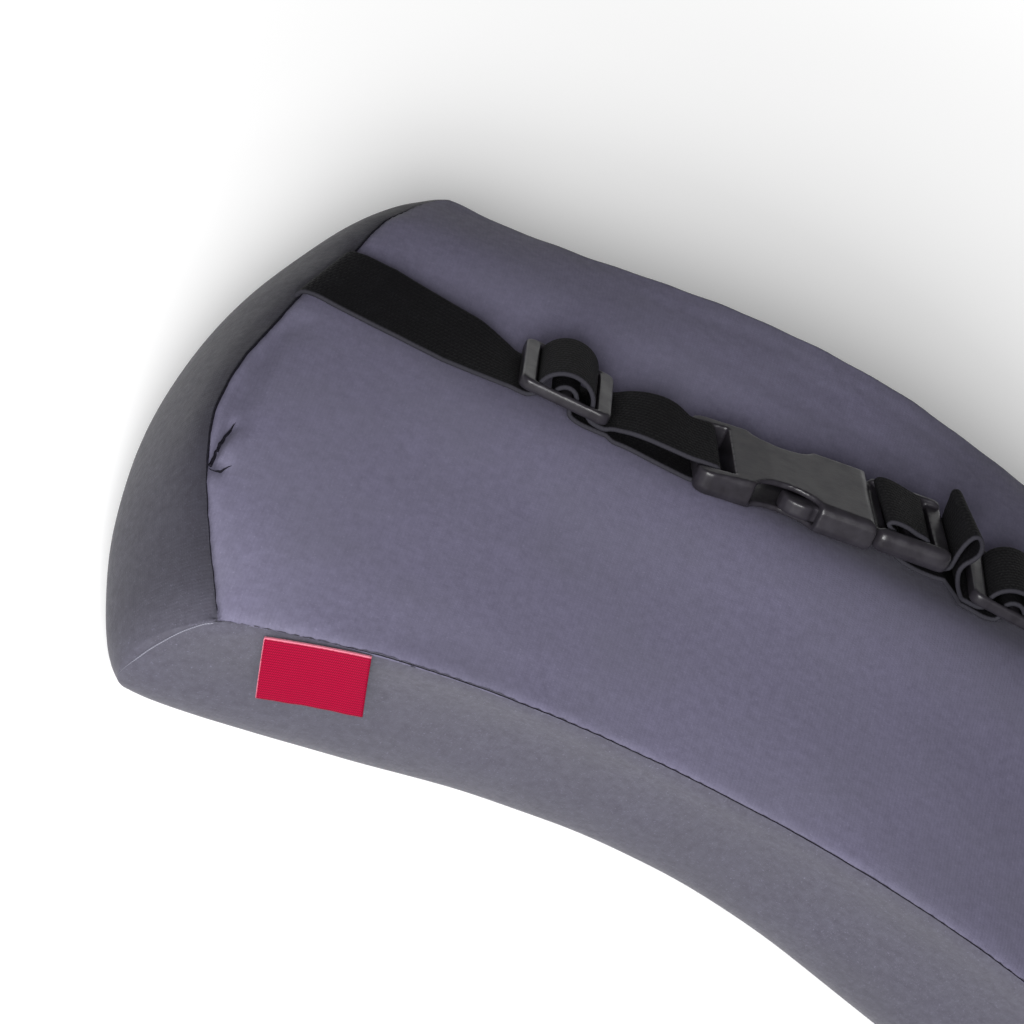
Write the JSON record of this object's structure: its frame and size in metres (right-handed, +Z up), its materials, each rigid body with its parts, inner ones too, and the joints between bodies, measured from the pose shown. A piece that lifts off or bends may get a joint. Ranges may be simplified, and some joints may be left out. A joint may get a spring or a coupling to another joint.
{
  "type": "memory foam headrest pillow",
  "caption": "Curved foam cushion in a sewn knit cover, with a webbing strap across its back that has sliders and a side release buckle.",
  "frame": {"origin": "middle of the bounding box in X and Y, on the surface that the pillow rests on", "axes": "+X along the strap, the pillow's longest extent; +Y towards the pillow's thinner long edge; +Z up, out of the strap side, the shortest extent"},
  "size_m": [0.3024, 0.1894, 0.0887],
  "materials": {
    "cover_fabric": "fine grey-violet knit with a slight sheen",
    "label_fabric": "crimson woven tape, matte",
    "webbing": "near-black ribbed webbing, matte",
    "plastic": "dark grey moulded plastic, satin"
  },
  "bodies": {
    "root": {"cushion": "cover_fabric", "label": "label_fabric", "strap_left": "webbing", "strap_right": "webbing", "slider_left": "plastic", "slider_right": "plastic", "buckle_socket": "plastic", "buckle_plug": "plastic"}
  },
  "joints": []
}
